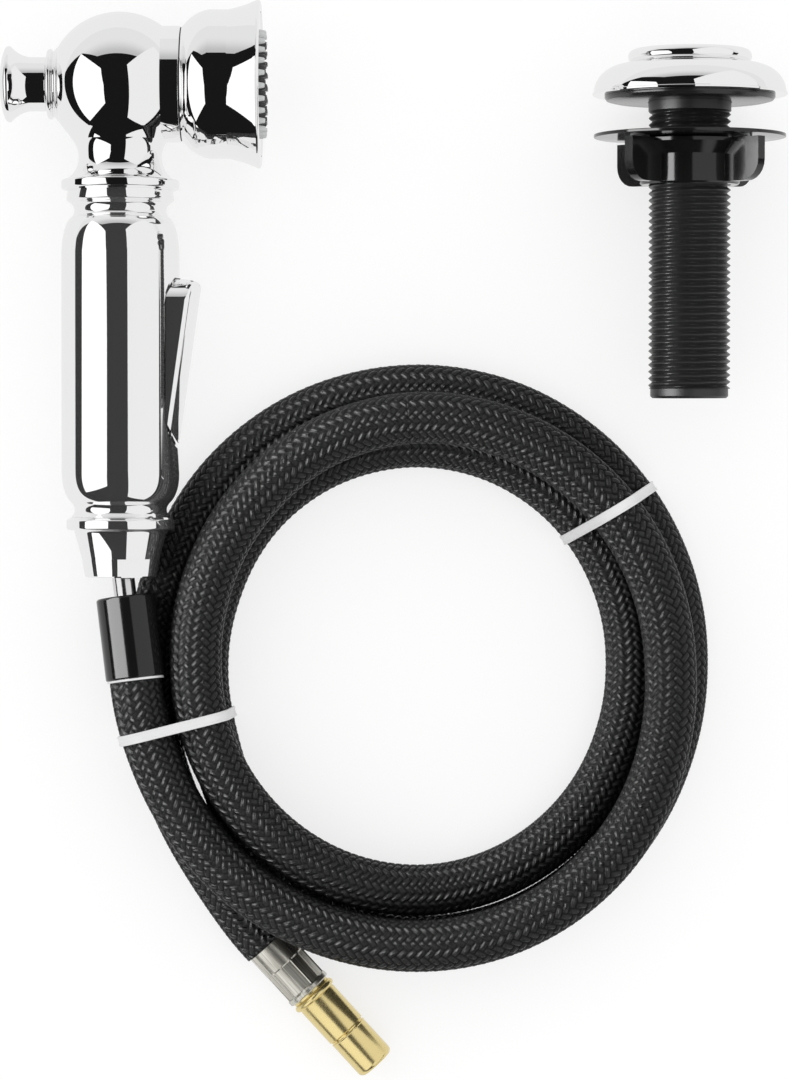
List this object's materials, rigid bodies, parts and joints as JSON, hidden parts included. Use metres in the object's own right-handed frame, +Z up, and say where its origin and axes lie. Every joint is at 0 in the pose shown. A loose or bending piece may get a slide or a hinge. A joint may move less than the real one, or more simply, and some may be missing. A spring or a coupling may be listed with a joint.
{
  "type": "handheld bath sprayer",
  "caption": "Chrome handheld bath sprayer with a side bell, push-pull knob and thumb lever, on a coiled braided hose with a brass connector, plus its threaded deck guide.",
  "frame": {"origin": "on the floor under the middle of the sprayer and the deck guide, taken without the hose and its fittings", "axes": "+X to the right, along the way the bell sprays; +Y up the handle towards the spray head; +Z up from the floor"},
  "size_m": [0.2303, 0.3177, 0.0569],
  "materials": {
    "chrome": "polished chrome plate",
    "steel": "plain stainless steel",
    "nickel": "satin nickel plate",
    "brass": "turned brass",
    "rubber": "matt black rubber",
    "nozzle_rubber": "soft grey rubber",
    "white_plastic": "white plastic",
    "gloss_black": "glossy black plastic",
    "black_plastic": "satin black plastic",
    "braid": "black nylon braid over a rubber hose"
  },
  "bodies": {
    "hose": {"swivel_stub": "chrome", "hose_crimp": "steel", "nut_washer": "white_plastic", "hose_lead": "braid", "hose_coil": "braid", "hose_tail": "braid", "tie_upper": "white_plastic", "tie_lower": "white_plastic", "end_ferrule": "nickel", "brass_connector": "brass", "guide_cap": "chrome", "guide_gasket": "rubber", "guide_shank": "black_plastic"},
    "swivel": {"swivel_socket": "white_plastic", "swivel_seal": "rubber"},
    "handle": {"head_body": "chrome", "neck_seal": "rubber", "bell_gasket": "rubber", "spray_bell": "chrome", "face_plate": "chrome", "nozzle_mat": "nozzle_rubber", "stream_insert": "steel", "knob_gland": "chrome", "handle_barrel": "chrome", "tail_nut": "chrome", "lever_pin": "steel", "valve_insert": "brass", "valve_spring": "steel"},
    "lever": {"trigger_lever": "chrome"},
    "valve": {"valve_plunger": "steel"},
    "knob": {"diverter_knob": "chrome", "diverter_spool": "brass", "spool_seals": "rubber"},
    "sleeve": {"sleeve_nut": "gloss_black"},
    "clamp": {"clamp_washer": "black_plastic"},
    "nut": {"wing_nut": "gloss_black"}
  },
  "joints": [
    {"name": "swivel_tilt", "type": "hinge", "parent": "hose", "child": "swivel", "pos_m": [-0.08, -0.062, 0.0222], "axis": [0, 0, 1], "range_deg": [0, 20]},
    {"name": "handle_spin", "type": "hinge", "parent": "swivel", "child": "handle", "pos_m": [-0.08, -0.062, 0.0222], "axis": [0, -0.9998, -0.0176], "continuous": true},
    {"name": "lever_press", "type": "hinge", "parent": "handle", "child": "lever", "pos_m": [-0.0695, -0.02451, 0.02286], "axis": [0, -0.0176, 0.9998], "range_deg": [0, 7], "stiffness_Nm_per_rad": 1.5, "springref_deg": -5.73},
    {"name": "valve_push", "type": "slide", "parent": "handle", "child": "valve", "axis": [-1, 0, 0], "range_m": [0, 0.0037], "deforming": ["valve_spring"]},
    {"name": "knob_pull", "type": "slide", "parent": "handle", "child": "knob", "axis": [-1, 0, 0], "range_m": [0, 0.005]},
    {"name": "sleeve_spin", "type": "hinge", "parent": "hose", "child": "sleeve", "pos_m": [-0.08, -0.062, 0.0222], "axis": [0.1239, -0.9911, 0.0496], "continuous": true},
    {"name": "clamp_slide", "type": "slide", "parent": "hose", "child": "clamp", "axis": [0, -0.9995, -0.0325], "range_m": [-0.006, 0.059]},
    {"name": "wing_nut_turn", "type": "hinge", "parent": "clamp", "child": "nut", "pos_m": [0.0868, 0.05362, 0.0278], "axis": [0, -0.9995, -0.0325], "range_deg": [-1080, 10620]}
  ],
  "couplings": [
    {"joint": "valve_push", "follows": "lever_press", "m_per_rad": 0.02971},
    {"joint": "clamp_slide", "follows": "wing_nut_turn", "m_per_rad": 0.00031831}
  ]
}
